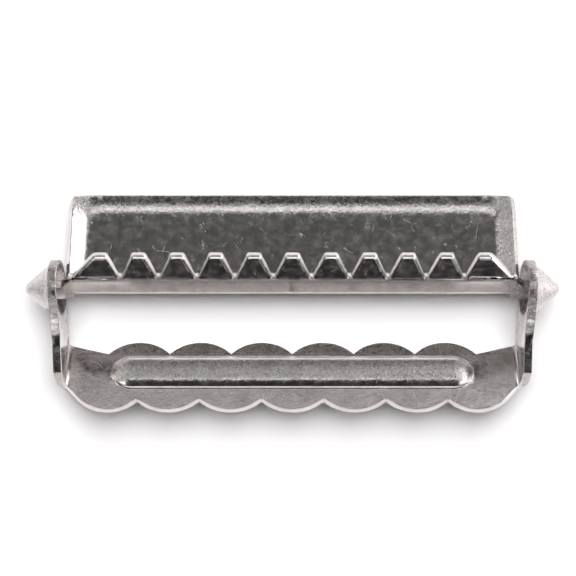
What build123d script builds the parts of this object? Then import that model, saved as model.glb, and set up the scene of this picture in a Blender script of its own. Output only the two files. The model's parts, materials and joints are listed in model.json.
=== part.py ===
from build123d import *
from math import acos, asin, atan2, cos, degrees, hypot, radians, sin, tan
import os

# Strap buckle of two folded sheet-steel pieces: a frame and a toothed lever that clamps the strap.
# Millimetres and degrees. It lies open on a table, the lever swung away from the crossbar.
# The pieces are built about the pivot axis, which runs along X, and set on the table at the end.

# Sheet and strap
sheet = 0.8
strap_width = 40.0
strap_side_room = 0.8

# Crossbar outline, in its own plane
scallop_pitch = 5.67
back_lobe_count = 6
web_depth = 4.9
back_lobe_rise = 1.3
front_lobe_rise = 1.12
back_corner_rise = 1.0

# Bead pressed up along the crossbar
bead_length = 33.4
bead_width = 3.9
bead_height = 0.72
bead_crown_half_angle = 13.0
bead_flank_angle = 50.0
bead_foot_radius = 0.5
bead_from_back_cusps = 2.05

# Ears, folded up from the crossbar's ends
fold_radius = 0.5
ear_splay = 3.2
ear_end_radius = 2.65
ear_back_corner = 1.4
ear_front_corner = 3.35
ear_rim_start_height = 1.7
ear_rim_slope = 38.0
ear_rim_length = 3.0
ear_rim_blend_radius = 4.0
ear_rim_foot_height = 0.9
corner_diagonal_reach = 1.35

# Pivot axis above the crossbar's upper face and behind its back cusps
pivot_height = 5.48
pivot_behind = 3.36

# Conical pivot seats, dished outward from the ears' round ends
seat_half_angle = 42.0
seat_wall = 0.65
seat_base_radius = 2.5
seat_nose_radius = 0.75
seat_inner_nose_radius = 0.3

# Lever: plate with three turned-up edges
plate_fold_reach = 8.05
plate_drop = 0.28
lever_side_room = 0.35
lip_angle = 30.0
side_lip = 1.8
far_lip = 1.2
lip_fold_radius = 2.5
lip_corner_radius = 1.2
plate_corner_radius = 0.9

# Lever: front wall and toothed edge
bend_radius = 0.25
wall_angle = 80.0
wall_reach = 2.3
wall_end_room = 0.55
tooth_flange_angle = 57.0
tooth_flange_reach = 2.4
knee_radius = 2.6
tooth_count = 11
tooth_pitch = 3.44
tooth_tip_width = 1.21
tooth_flank_angle = 22.6
tooth_height = 2.36
tooth_corner_radius = 0.3
tooth_edge_roll = 0.24
tooth_edge_slope = 45.0
gullet_radius = 0.13
gullet_fill = 0.95
shoulder_run = 2.0
shoulder_corner_radius = 0.7

# Lever: lugs that turn in the seats
lug_below = 1.2
lug_above = 0.9
lug_root = 0.3
lug_root_below = 1.0
lug_face_room = 0.15
lug_clearance = 0.07

# Pose on the table
crossbar_tilt = 38.0

# Values worked out from the sizes above
floor_half = strap_width / 2 + strap_side_room
ear_face_at_axis = floor_half + pivot_height * tan(radians(ear_splay))
lever_half = ear_face_at_axis - lever_side_room
side_fold_half = lever_half - side_lip * cos(radians(lip_angle)) - sheet * sin(radians(lip_angle))
wall_half = floor_half - wall_end_room
pan_depth = 2 * (max(side_lip, far_lip) * sin(radians(lip_angle)) + sheet)
seat_apex = ear_face_at_axis + sheet + seat_base_radius / tan(radians(seat_half_angle))
seat_inner_apex = seat_apex - seat_wall / sin(radians(seat_half_angle))
lug_apex = seat_inner_apex - lug_clearance / sin(radians(seat_half_angle))
lug_nose_radius = seat_inner_nose_radius - lug_clearance

# Lengths of the cutting tools, which only have to reach past the sheet
past_face = 0.02
through = 2 * sheet
reach = 3 * floor_half
side_cut_height = 2 * pivot_height


def tangent_point(centre, radius, point, side):
    """Point where the line from point touches a circle, on its left (1) or right (-1)."""
    away_y = point[0] - centre[0]
    away_z = point[1] - centre[1]
    angle = atan2(away_z, away_y) + side * acos(radius / hypot(away_y, away_z))
    return (centre[0] + radius * cos(angle), centre[1] + radius * sin(angle))


def extrude_across(profile, half_width):
    """Profile drawn in the YZ plane, extruded both ways along X."""
    return extrude(Plane.YZ * profile, amount=half_width, both=True)


def lobe_edges(start_x, count, base_y, rise):
    """A row of round lobes, each an arc from one cusp to the next, from left to right."""
    edges = []
    for number in range(count):
        left = start_x + number * scallop_pitch
        crown = (left + scallop_pitch / 2, base_y + rise)
        edges.append(ThreePointArc((left, base_y), crown, (left + scallop_pitch, base_y)))
    return edges


def crossbar_outline():
    """Scalloped crossbar seen square on, with room at both ends for the ears."""
    last_cusp = back_lobe_count * scallop_pitch / 2
    front_cusp = last_cusp - scallop_pitch / 2
    front = -web_depth
    ear_out = floor_half + seat_base_radius
    edges = lobe_edges(-last_cusp, back_lobe_count, 0, back_lobe_rise)
    edges += lobe_edges(-front_cusp, back_lobe_count - 1, front, -front_lobe_rise)
    for side in (-1, 1):
        edges += [
            Line((side * last_cusp, 0), (side * floor_half, back_corner_rise)),
            Line((side * floor_half, back_corner_rise), (side * floor_half, reach)),
            Line((side * floor_half, reach), (side * ear_out, reach)),
            Line((side * ear_out, reach), (side * ear_out, -ear_front_corner)),
            Line((side * ear_out, -ear_front_corner), (side * floor_half, -ear_front_corner)),
            Line((side * floor_half, -ear_front_corner), (side * (floor_half - corner_diagonal_reach), front)),
            ThreePointArc(
                (side * (floor_half - corner_diagonal_reach), front),
                (side * last_cusp, front - front_lobe_rise),
                (side * front_cusp, front),
            ),
        ]
    return make_face(edges)


def side_outline():
    """Ears and crossbar seen along the pivot axis, with the crossbar flat along Y."""
    pivot = (pivot_behind, pivot_height)
    back_corner = (ear_back_corner, 0)
    rim_start = (-ear_front_corner, ear_rim_start_height)
    slope = radians(ear_rim_slope)
    rim_end = (rim_start[0] + ear_rim_length * cos(slope), rim_start[1] + ear_rim_length * sin(slope))
    rim_foot_y = rim_start[0] - (rim_start[1] - ear_rim_foot_height) / tan(slope)
    under = tangent_point(pivot, ear_end_radius, back_corner, 1)
    over = tangent_point(pivot, ear_end_radius, rim_end, -1)
    far_end = (pivot[0] + ear_end_radius * cos(slope), pivot[1] + ear_end_radius * sin(slope))
    edges = [
        ThreePointArc(under, far_end, over),
        Line(over, rim_end),
        Line(rim_end, (rim_foot_y, ear_rim_foot_height)),
        Line((rim_foot_y, ear_rim_foot_height), (-side_cut_height, ear_rim_foot_height)),
        Line((-side_cut_height, ear_rim_foot_height), (-side_cut_height, -side_cut_height)),
        Line((-side_cut_height, -side_cut_height), (back_corner[0], -side_cut_height)),
        Line((back_corner[0], -side_cut_height), back_corner),
        Line(back_corner, under),
    ]
    face = make_face(edges)
    knee = face.vertices().sort_by_distance(Vector(rim_end[0], rim_end[1], 0))[0]
    return fillet(knee, ear_rim_blend_radius)


def trough_section(outward):
    """Trough between floor and ears in cross-section, moved outward by a thickness."""
    lean = radians(ear_splay)
    foot = floor_half + outward / cos(lean) - outward * tan(lean)
    top = foot + (side_cut_height + outward) * tan(lean)
    face = make_face(
        Polyline(
            (-foot, -outward),
            (foot, -outward),
            (top, side_cut_height),
            (-top, side_cut_height),
            close=True,
        )
    )
    corners = face.vertices().group_by(Axis.Y)[0]
    return fillet(corners, fold_radius + outward)


def bead_radii():
    """Crown and shoulder radii that give the bead its width and height."""
    crown = radians(bead_crown_half_angle)
    flank = radians(bead_flank_angle)
    across = bead_width / 2 - bead_foot_radius * sin(flank)
    down = bead_height - bead_foot_radius * (1 - cos(flank))
    across_shoulder = sin(flank) - sin(crown)
    down_shoulder = cos(crown) - cos(flank)
    share = sin(crown) * down_shoulder - (1 - cos(crown)) * across_shoulder
    crown_radius = (across * down_shoulder - down * across_shoulder) / share
    shoulder_radius = (down * sin(crown) - across * (1 - cos(crown))) / share
    return crown_radius, shoulder_radius


def bead_section(inset, bottom):
    """Half of the bead's cross-section, from its middle to its foot, tangent to the flat sheet."""
    half = bead_width / 2
    crown = radians(bead_crown_half_angle)
    flank = radians(bead_flank_angle)
    crown_radius, shoulder_radius = bead_radii()
    shoulder_centre_x = (crown_radius - shoulder_radius) * sin(crown)
    shoulder_centre_z = bead_height - crown_radius + (crown_radius - shoulder_radius) * cos(crown)

    def on_crown(angle):
        radius = crown_radius - inset
        return (radius * sin(angle), bead_height - crown_radius + radius * cos(angle))

    def on_shoulder(angle):
        radius = shoulder_radius - inset
        return (shoulder_centre_x + radius * sin(angle), shoulder_centre_z + radius * cos(angle))

    def on_foot(angle):
        radius = bead_foot_radius + inset
        return (half - radius * sin(angle), bead_foot_radius - radius * cos(angle))

    edges = [
        ThreePointArc(on_crown(0), on_crown(crown / 2), on_crown(crown)),
        ThreePointArc(on_crown(crown), on_shoulder((crown + flank) / 2), on_shoulder(flank)),
        ThreePointArc(on_shoulder(flank), on_foot(flank / 2), on_foot(0)),
        Line(on_foot(0), (half, bottom)),
        Line((half, bottom), (0, bottom)),
        Line((0, bottom), on_crown(0)),
    ]
    return make_face(edges)


def bead(inset, bottom):
    """Long bead with domed ends: a straight middle, and the same section turned at each end."""
    straight = bead_length / 2 - bead_width / 2
    dome = revolve(Plane.XZ * bead_section(inset, bottom), Axis.Z, 360)
    run = extrude_across(bead_section(inset, bottom), straight)
    run += mirror(run, Plane.XZ)
    body = run + Pos(straight, 0, 0) * dome + Pos(-straight, 0, 0) * dome
    return Pos(0, -bead_from_back_cusps, 0) * body


def cone(apex, nose_radius, start):
    """Cone about X that narrows to a round nose, solid from start on."""
    slope = radians(seat_half_angle)
    nose_centre = apex - nose_radius / sin(slope)
    touch = (nose_centre + nose_radius * sin(slope), nose_radius * cos(slope))
    bow = radians(90 - seat_half_angle) / 2
    middle = (nose_centre + nose_radius * cos(bow), nose_radius * sin(bow))
    edges = [
        Line((start, 0), (start, (apex - start) * tan(slope))),
        Line((start, (apex - start) * tan(slope)), touch),
        ThreePointArc(touch, middle, (nose_centre + nose_radius, 0)),
        Line((nose_centre + nose_radius, 0), (start, 0)),
    ]
    return revolve(make_face(edges), Axis.X, 360)


def make_frame():
    """One folded sheet: scalloped crossbar with its bead, ears and dished pivot seats."""
    channel = trough_section(sheet) - trough_section(0)
    body = extrude(Plane.XZ * channel, amount=reach, both=True)
    body &= extrude(crossbar_outline(), amount=side_cut_height, both=True)
    body &= extrude_across(side_outline(), reach)
    body += bead(0, -sheet / 2)
    body -= bead(sheet, -through)
    ear_middle = ear_face_at_axis + sheet / 2
    boss = Pos(ear_middle, 0, 0) * Rot(0, 90, 0) * Cylinder(
        seat_base_radius, sheet / 2, align=(Align.CENTER, Align.CENTER, Align.MIN)
    )
    seat = boss + cone(seat_apex, seat_nose_radius, ear_face_at_axis + sheet)
    hollow = cone(seat_inner_apex, seat_inner_nose_radius, ear_face_at_axis - sheet)
    at_pivot = Pos(0, pivot_behind, pivot_height)
    body += at_pivot * seat + at_pivot * mirror(seat, Plane.YZ)
    body -= at_pivot * hollow
    body -= at_pivot * mirror(hollow, Plane.YZ)
    return Rot(-crossbar_tilt, 0, 0) * Pos(0, -pivot_behind, -pivot_height) * body


def plate_pan(outward):
    """Space above the plate's turned-up edges, with its floor and slopes moved outward."""
    grow = outward * tan(radians(lip_angle) / 2)
    half = side_fold_half + grow
    far = plate_fold_reach + grow
    near = -2 * plate_fold_reach
    floor = -plate_drop - outward
    tray = Pos(0, (far + near) / 2, floor) * Rectangle(2 * half, far - near)
    tray = fillet(tray.vertices().group_by(Axis.Y)[-1], lip_corner_radius + grow)
    pan = extrude(tray, amount=pan_depth, taper=lip_angle - 90)
    folds = pan.edges().group_by(Axis.Z)[0]
    return fillet(folds, lip_fold_radius + outward)


def make_plate(near):
    """Finger plate with its three lips, from the front bend to the far edge."""
    lean = radians(lip_angle)
    half = side_fold_half + side_lip / cos(lean)
    far = plate_fold_reach + far_lip / cos(lean)
    outline = Pos(0, 0, -plate_drop) * Rectangle(2 * half, 2 * far)
    outline = fillet(outline.vertices(), plate_corner_radius)
    trim = extrude(outline, amount=through, taper=lip_angle)
    trim += extrude(outline, amount=-through, taper=-lip_angle)
    body = (plate_pan(sheet) - plate_pan(0)) & trim
    keep = Pos(0, near, 0) * Box(reach, reach, reach, align=(Align.CENTER, Align.MIN, Align.CENTER))
    return body & keep


def rolled_cut(face):
    """Cut through the toothed flange that leaves its front edges rolled."""
    level = sheet / 2 - tooth_edge_roll
    flare = extrude(Pos(0, 0, level) * face, amount=tooth_edge_roll + past_face, taper=-tooth_edge_slope)
    return extrude(face, amount=through, both=True) + flare


def tooth_gap():
    """Space between the middles of two tooth tips, in the flange's plane."""
    flank = tan(radians(tooth_flank_angle))
    mouth_half = (tooth_pitch - tooth_tip_width) / 2
    root_half = mouth_half - tooth_height * flank
    face = make_face(
        Polyline(
            (-tooth_pitch / 2, through),
            (-tooth_pitch / 2, 0),
            (-mouth_half, 0),
            (-root_half, -tooth_height),
            (root_half, -tooth_height),
            (mouth_half, 0),
            (tooth_pitch / 2, 0),
            (tooth_pitch / 2, through),
            close=True,
        )
    )
    rows = face.vertices().group_by(Axis.Y)
    tips = rows[1].sort_by(Axis.X)[1:3]
    face = fillet(tips, tooth_corner_radius)
    return fillet(face.vertices().group_by(Axis.Y)[0], min(gullet_radius, gullet_fill * root_half))


def end_shoulder():
    """Sloping end of the toothed edge, right of the last tooth's middle."""
    middle = (tooth_count - 1) * tooth_pitch / 2
    corner = middle + tooth_tip_width / 2
    face = make_face(
        Polyline(
            (middle, through),
            (middle, 0),
            (corner, 0),
            (corner + shoulder_run, -tooth_height),
            (reach, -tooth_height),
            (reach, through),
            close=True,
        )
    )
    return fillet(face.vertices().sort_by_distance(Vector(corner, 0, 0))[0], shoulder_corner_radius)


def make_lug():
    """End of the front wall that narrows to a tab, coned to turn in the right seat."""
    root = wall_half - lug_root
    face = ear_face_at_axis - lug_face_room
    outline = make_face(
        Polyline(
            (root, -lug_root_below),
            (face, -lug_below),
            (lug_apex, -lug_below),
            (lug_apex, lug_above),
            (face, lug_above),
            (root, wall_reach),
            close=True,
        )
    )
    tab = Rot(wall_angle, 0, 0) * extrude(outline, amount=sheet / 2, both=True)
    return tab & cone(lug_apex, lug_nose_radius, 0)


def make_lever():
    """One folded sheet: plate, front wall with its lugs, and the row of teeth."""
    middle = plate_drop + sheet / 2
    wall = radians(wall_angle)
    flange = radians(tooth_flange_angle)
    corner = (-middle / tan(wall), -middle)
    knee = (wall_reach * cos(wall), wall_reach * sin(wall))
    tip = (knee[0] + tooth_flange_reach * cos(flange), knee[1] + tooth_flange_reach * sin(flange))
    past = (tip[0] + sheet * cos(flange), tip[1] + sheet * sin(flange))
    bend_tangent = (bend_radius + sheet / 2) / tan(wall / 2)
    near = corner[0] + bend_tangent
    path = FilletPolyline((near + sheet, corner[1]), corner, knee, past, radius=[bend_radius + sheet / 2, knee_radius])
    strip = extrude_across(trace(path, line_width=sheet), wall_half)
    flange_plane = Plane(origin=(0, tip[0], tip[1]), x_dir=(1, 0, 0), z_dir=(0, -sin(flange), cos(flange)))
    gap = rolled_cut(tooth_gap())
    for number in range(tooth_count - 1):
        shift = (number - (tooth_count - 2) / 2) * tooth_pitch
        strip -= flange_plane * Pos(shift, 0, 0) * gap
    shoulder = rolled_cut(end_shoulder())
    strip -= flange_plane * shoulder
    strip -= flange_plane * mirror(shoulder, Plane.YZ)
    lug = make_lug()
    body = make_plate(near) + strip + lug + mirror(lug, Plane.YZ)
    return Rot(-plate_droop(), 0, 0) * body


def axis_height():
    """Height of the pivot axis over the table, the frame standing on its back lobes."""
    tilt = radians(crossbar_tilt)
    return (pivot_height + sheet) * cos(tilt) - (pivot_behind - back_lobe_rise) * sin(tilt)


def plate_droop():
    """Angle by which the plate hangs down until its far fold rests on the table."""
    outer = lip_fold_radius + sheet
    along = plate_fold_reach - lip_fold_radius * tan(radians(lip_angle) / 2)
    up = lip_fold_radius - plate_drop
    return degrees(atan2(up, along) + asin((axis_height() - outer) / hypot(along, up)))


frame = make_frame()
lever = make_lever()

# Origin: middle of the footprint, on the table
box = frame.bounding_box().add(lever.bounding_box())
to_origin = Pos(0, -(box.min.Y + box.max.Y) / 2, -box.min.Z)

os.makedirs("parts", exist_ok=True)
export_step(to_origin * frame, "parts/frame.step")
export_step(to_origin * lever, "parts/toothed_lever.step")
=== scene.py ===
import json
from math import cos, radians, sin, tan

import bmesh
import bpy
from mathutils import Matrix, Vector


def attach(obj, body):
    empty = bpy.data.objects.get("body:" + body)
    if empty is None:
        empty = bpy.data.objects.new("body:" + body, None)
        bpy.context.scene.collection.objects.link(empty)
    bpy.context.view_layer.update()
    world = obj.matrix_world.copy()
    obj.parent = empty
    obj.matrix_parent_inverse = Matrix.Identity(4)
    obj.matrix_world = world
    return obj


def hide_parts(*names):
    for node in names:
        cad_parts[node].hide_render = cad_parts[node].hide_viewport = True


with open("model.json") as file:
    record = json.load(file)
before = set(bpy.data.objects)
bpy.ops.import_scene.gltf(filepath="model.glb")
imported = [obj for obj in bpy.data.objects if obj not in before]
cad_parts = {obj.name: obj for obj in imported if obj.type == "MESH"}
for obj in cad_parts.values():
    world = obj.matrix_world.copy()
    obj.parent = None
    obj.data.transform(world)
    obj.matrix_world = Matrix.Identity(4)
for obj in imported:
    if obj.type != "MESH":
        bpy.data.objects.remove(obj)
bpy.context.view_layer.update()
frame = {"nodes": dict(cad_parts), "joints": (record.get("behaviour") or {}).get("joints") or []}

MM = 0.001
PICTURE = 576

# The hinge axis runs along X through this point
hinge = Vector(frame["joints"][0]["pos_m"])

# How far the crossbar and the finger plate turn down from level, in degrees
CROSSBAR_TILT = 38.0
PLATE_DROOP = 19.6

# Rounding of the sheet's cut edges, in millimetres, and the least angle that counts as an edge
EDGE_ROUND = 0.07
EDGE_ANGLE = 28.0

# Camera straight over the hinge, its place given by where the hinge shows in the picture
LENS = 100.0
SENSOR = 36.0
CAMERA_HEIGHT = 146 * MM
HINGE_PIXEL = (292.5, 288.8)


def make_camera():
    data = bpy.data.cameras.new("camera")
    data.lens = LENS
    data.sensor_width = SENSOR
    data.clip_start = 1 * MM
    data.clip_end = 10.0
    camera = bpy.data.objects.new("camera", data)
    bpy.context.scene.collection.objects.link(camera)
    metres_per_pixel = CAMERA_HEIGHT * SENSOR / LENS / PICTURE
    right = (PICTURE / 2 - HINGE_PIXEL[0]) * metres_per_pixel
    up = (HINGE_PIXEL[1] - PICTURE / 2) * metres_per_pixel
    camera.location = hinge + Vector((right, up, CAMERA_HEIGHT))
    bpy.context.scene.camera = camera


def make_floor():
    mesh = bpy.data.meshes.new("floor")
    half = 1.5
    mesh.from_pydata([(-half, -half, 0), (half, -half, 0), (half, half, 0), (-half, half, 0)], [], [(0, 1, 2, 3)])
    floor = bpy.data.objects.new("floor", mesh)
    bpy.context.scene.collection.objects.link(floor)
    material = bpy.data.materials.new("floor_white")
    material.use_nodes = True
    shader = material.node_tree.nodes["Principled BSDF"]
    shader.inputs["Base Color"].default_value = (0.9, 0.885, 0.89, 1)
    shader.inputs["Roughness"].default_value = 0.7
    shader.inputs["Specular IOR Level"].default_value = 0.2
    mesh.materials.append(material)


def direction(azimuth, elevation):
    """Unit vector: azimuth 0 is +X and 90 is +Y, elevation counts from the floor."""
    a = radians(azimuth)
    e = radians(elevation)
    return Vector((cos(a) * cos(e), sin(a) * cos(e), sin(e)))


def softbox(name, azimuth, elevation, width, height, radiance, in_metal=True, on_table=True):
    """Area light that faces the object. Width and height are angles as the object sees them."""
    distance = 0.5
    data = bpy.data.lights.new(name, "AREA")
    data.shape = "RECTANGLE"
    data.size = 2 * distance * tan(radians(width / 2))
    data.size_y = 2 * distance * tan(radians(height / 2))
    data.energy = 4 * radiance * data.size * data.size_y
    light = bpy.data.objects.new(name, data)
    bpy.context.scene.collection.objects.link(light)
    toward = direction(azimuth, elevation)
    light.location = hinge + toward * distance
    side = Vector((0, 0, 1)).cross(toward)
    side.normalize()
    rise = toward.cross(side)
    light.rotation_euler = Matrix((side, rise, toward)).transposed().to_euler()
    light.visible_camera = False
    light.visible_glossy = in_metal
    light.visible_diffuse = on_table
    return light


def make_world():
    """Dim room, a little lighter toward the back, with a white backdrop for the camera."""
    world = bpy.data.worlds.new("world")
    world.use_nodes = True
    nodes = world.node_tree.nodes
    links = world.node_tree.links
    room = nodes["Background"]
    room.inputs["Strength"].default_value = 1.0
    toward = nodes.new("ShaderNodeTexCoord")
    axes = nodes.new("ShaderNodeSeparateXYZ")
    shade = nodes.new("ShaderNodeMapRange")
    shade.interpolation_type = "SMOOTHSTEP"
    shade.inputs["From Min"].default_value = -0.3
    shade.inputs["From Max"].default_value = 0.6
    shade.inputs["To Min"].default_value = 0.02
    shade.inputs["To Max"].default_value = 0.09
    links.new(toward.outputs["Generated"], axes.inputs[0])
    links.new(axes.outputs[1], shade.inputs["Value"])
    links.new(shade.outputs["Result"], room.inputs["Color"])
    seen = nodes.new("ShaderNodeBackground")
    seen.inputs["Color"].default_value = (1, 1, 1, 1)
    path = nodes.new("ShaderNodeLightPath")
    mix = nodes.new("ShaderNodeMixShader")
    links.new(path.outputs["Is Camera Ray"], mix.inputs[0])
    links.new(room.outputs[0], mix.inputs[1])
    links.new(seen.outputs[0], mix.inputs[2])
    links.new(mix.outputs[0], nodes["World Output"].inputs["Surface"])
    bpy.context.scene.world = world


def make_lights():
    softbox("overhead_strip", 90, 75, 60, 19, 1.25)
    softbox("table_fill", 82, 67, 50, 50, 4.4, in_metal=False)
    softbox("front_card", 262, 41, 44, 15, 2.0, on_table=False)
    softbox("right_box", 28, 20, 80, 32, 2.4, on_table=False)
    softbox("right_corner", 342, 42, 24, 24, 1.4, on_table=False)
    softbox("left_box", 155, 20, 50, 22, 0.6, on_table=False)
    softbox("left_card", 122, 27, 14, 12, 2.2, on_table=False)
    softbox("left_corner", 198, 42, 24, 24, 1.4, on_table=False)
    softbox("back_box", 90, 24.5, 50, 11, 0.6, on_table=False)


class Nodes:
    """Short calls for building one material's node tree."""

    def __init__(self, name):
        self.material = bpy.data.materials.new(name)
        self.material.use_nodes = True
        self.tree = self.material.node_tree
        self.shader = self.tree.nodes["Principled BSDF"]

    def node(self, kind, inputs=None, **settings):
        node = self.tree.nodes.new("ShaderNode" + kind)
        for key, value in settings.items():
            setattr(node, key, value)
        for key, value in (inputs or {}).items():
            self.put(value, node.inputs[key])
        return node

    def put(self, value, socket):
        if isinstance(value, bpy.types.NodeSocket):
            self.tree.links.new(value, socket)
        else:
            socket.default_value = value

    def math(self, operation, a, b=0.0, c=0.0):
        return self.node("Math", {0: a, 1: b, 2: c}, operation=operation).outputs[0]

    def noise(self, vector, scale, detail=2.0, roughness=0.5, distortion=0.0):
        inputs = {"Vector": vector, "Scale": scale, "Detail": detail, "Roughness": roughness, "Distortion": distortion}
        return self.node("TexNoise", inputs).outputs["Fac"]

    def ramp(self, value, low, high, to_low=0.0, to_high=1.0):
        inputs = {"Value": value, "From Min": low, "From Max": high, "To Min": to_low, "To Max": to_high}
        return self.node("MapRange", inputs, interpolation_type="SMOOTHSTEP").outputs["Result"]

    def both(self, a, b):
        return self.math("MULTIPLY", a, b)

    def either(self, a, b):
        return self.math("MAXIMUM", a, b)

    def inside(self, value, low, high, soft):
        """1 between low and high, falling to 0 over soft on both sides."""
        rise = self.ramp(value, low - soft, low)
        fall = self.ramp(value, high, high + soft, 1.0, 0.0)
        return self.both(rise, fall)

    def place(self, tilt):
        """Millimetres from the hinge axis, with Y along a sheet that is turned down by the tilt."""
        coordinate = self.node("TexCoord").outputs["Object"]
        inputs = {"Vector": coordinate, "Location": hinge, "Rotation": (radians(-tilt), 0, 0), "Scale": (MM, MM, MM)}
        return self.node("Mapping", inputs, vector_type="TEXTURE").outputs[0]

    def stretched(self, vector, scale, turn=0.0):
        turned = self.node("Mapping", {"Vector": vector, "Rotation": (0, 0, radians(turn))}).outputs[0]
        return self.node("Mapping", {"Vector": turned, "Scale": scale}).outputs[0]

    def hairlines(self, vector, scale, width, cover):
        """Thin curved lines, here and there."""
        level = self.noise(vector, scale, 1.0, 0.5, 0.8)
        line = self.ramp(self.math("ABSOLUTE", self.math("SUBTRACT", level, 0.5)), 0.0, width, 1.0, 0.0)
        patch = self.ramp(self.noise(vector, scale * 0.7 + 0.11, 1.0), cover, cover + 0.04)
        return self.both(line, patch)


def plated_steel(name, tilt, stretch_mask, cut_mask):
    """Nickel plating: mottled gloss, fine grain that coarsens where the sheet was stretched, and scratches."""
    n = Nodes(name)
    here = n.place(tilt)
    stretch = stretch_mask(n, here)
    mottle = n.noise(here, 0.5, 4, 0.6)
    blotch = n.noise(here, 1.7, 3, 0.6)
    grain = n.noise(here, 3.6, 3, 0.7)
    fine = n.noise(here, 14.0, 2, 0.6)
    straight = n.noise(n.stretched(here, (10, 0.3, 4), 20), 1.0, 2)
    crossing = n.noise(n.stretched(here, (9, 0.35, 4), -42), 1.0, 2)
    hair = n.hairlines(here, 0.45, 0.003, 0.62)
    nicks = n.hairlines(here, 1.3, 0.004, 0.66)
    scratches = n.either(n.ramp(straight, 0.66, 0.74), n.ramp(crossing, 0.67, 0.75))
    n.shader.inputs["Metallic"].default_value = 1.0
    tint = n.node(
        "Mix",
        {0: n.ramp(mottle, 0.3, 0.7), 6: (0.66, 0.62, 0.61, 1), 7: (0.75, 0.71, 0.70, 1)},
        data_type="RGBA",
    ).outputs[2]
    speckle = n.ramp(n.noise(here, 5.0, 1.0, 0.6), 0.38, 0.62)
    speckle = n.math("MULTIPLY_ADD", n.both(speckle, n.math("MULTIPLY_ADD", stretch, 0.22, 0.06)), -1.0, 1.0)
    sheared = n.math("MULTIPLY_ADD", cut_mask(n, here), -0.45, 1.0)
    tint = n.node("VectorMath", {0: tint, "Scale": n.both(speckle, sheared)}, operation="SCALE").outputs[0]
    n.put(tint, n.shader.inputs["Base Color"])
    rough = n.ramp(blotch, 0.3, 0.7, 0.14, 0.26)
    rough = n.math("MULTIPLY_ADD", stretch, 0.1, rough)
    rough = n.math("MULTIPLY_ADD", n.either(hair, nicks), 0.2, rough)
    n.put(rough, n.shader.inputs["Roughness"])
    height = n.math("MULTIPLY", grain, n.math("MULTIPLY_ADD", stretch, 4.5, 0.5))
    height = n.math("MULTIPLY_ADD", fine, 0.12, height)
    height = n.math("MULTIPLY_ADD", mottle, 0.8, height)
    height = n.math("MULTIPLY_ADD", scratches, -0.12, height)
    height = n.math("MULTIPLY_ADD", n.either(hair, nicks), -0.5, height)
    bump = n.node("Bump", {"Height": height, "Distance": 0.014 * MM, "Strength": 1.0})
    n.put(bump.outputs[0], n.shader.inputs["Normal"])
    return n.material


def frame_stretch(n, here):
    """The bead and the back lobes."""
    axes = n.node("SeparateXYZ", {0: here}).outputs
    across = n.math("ABSOLUTE", axes[0])
    bead = n.both(n.inside(axes[1], -6.4, -4.6, 0.4), n.ramp(across, 16.0, 16.8, 1.0, 0.0))
    lobes = n.ramp(axes[1], -3.5, -3.2)
    return n.either(bead, n.math("MULTIPLY", lobes, 0.7))


def ear_rims(n, here):
    """The sheared rims of the ears, darkened by the striped grain of the cut."""
    across = n.math("ABSOLUTE", n.node("SeparateXYZ", {0: here}).outputs[0])
    facing = n.math("ABSOLUTE", n.node("SeparateXYZ", {0: n.node("NewGeometry").outputs["Normal"]}).outputs[0])
    stripes = n.ramp(n.noise(n.stretched(here, (1.5, 7, 7)), 1.0, 3, 0.6), 0.4, 0.6, 0.4, 1.0)
    return n.both(n.both(n.ramp(across, 20.8, 21.1), n.ramp(facing, 0.5, 0.7, 1.0, 0.0)), stripes)


def no_cut(n, here):
    return 0.0


def lever_stretch(n, here):
    """The plate's far and side folds and their lips."""
    axes = n.node("SeparateXYZ", {0: here}).outputs
    far = n.ramp(axes[1], 6.0, 8.4, 0.0, 0.5)
    side = n.ramp(axes[0], 18.4, 19.8)
    return n.either(far, side)


def rounded_copy(node_name, body, material):
    """Copy of a CAD node whose sheared edges are rounded, shown in its place."""
    mesh = bpy.data.meshes.new(node_name + "_plated")
    shape = bmesh.new()
    shape.from_mesh(frame["nodes"][node_name].data)
    bmesh.ops.remove_doubles(shape, verts=shape.verts, dist=0.001 * MM)
    bmesh.ops.dissolve_limit(shape, angle_limit=radians(0.3), verts=shape.verts, edges=shape.edges)
    for face in shape.faces:
        face.smooth = True
        face.material_index = 0
    shape.to_mesh(mesh)
    shape.free()
    mesh.materials.append(material)
    piece = bpy.data.objects.new(node_name + "_plated", mesh)
    bpy.context.scene.collection.objects.link(piece)
    bevel = piece.modifiers.new("rounding", "BEVEL")
    bevel.width = EDGE_ROUND * MM
    bevel.segments = 2
    bevel.limit_method = "ANGLE"
    bevel.angle_limit = radians(EDGE_ANGLE)
    bevel.use_clamp_overlap = False
    piece.modifiers.new("normals", "WEIGHTED_NORMAL")
    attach(piece, body)
    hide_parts(node_name)


make_camera()
make_floor()
make_world()
make_lights()
bpy.context.scene.view_settings.view_transform = "Standard"
rounded_copy("frame", "frame", plated_steel("frame_plating", CROSSBAR_TILT, frame_stretch, ear_rims))
rounded_copy("toothed_lever", "toothed_lever", plated_steel("lever_plating", PLATE_DROOP, lever_stretch, no_cut))
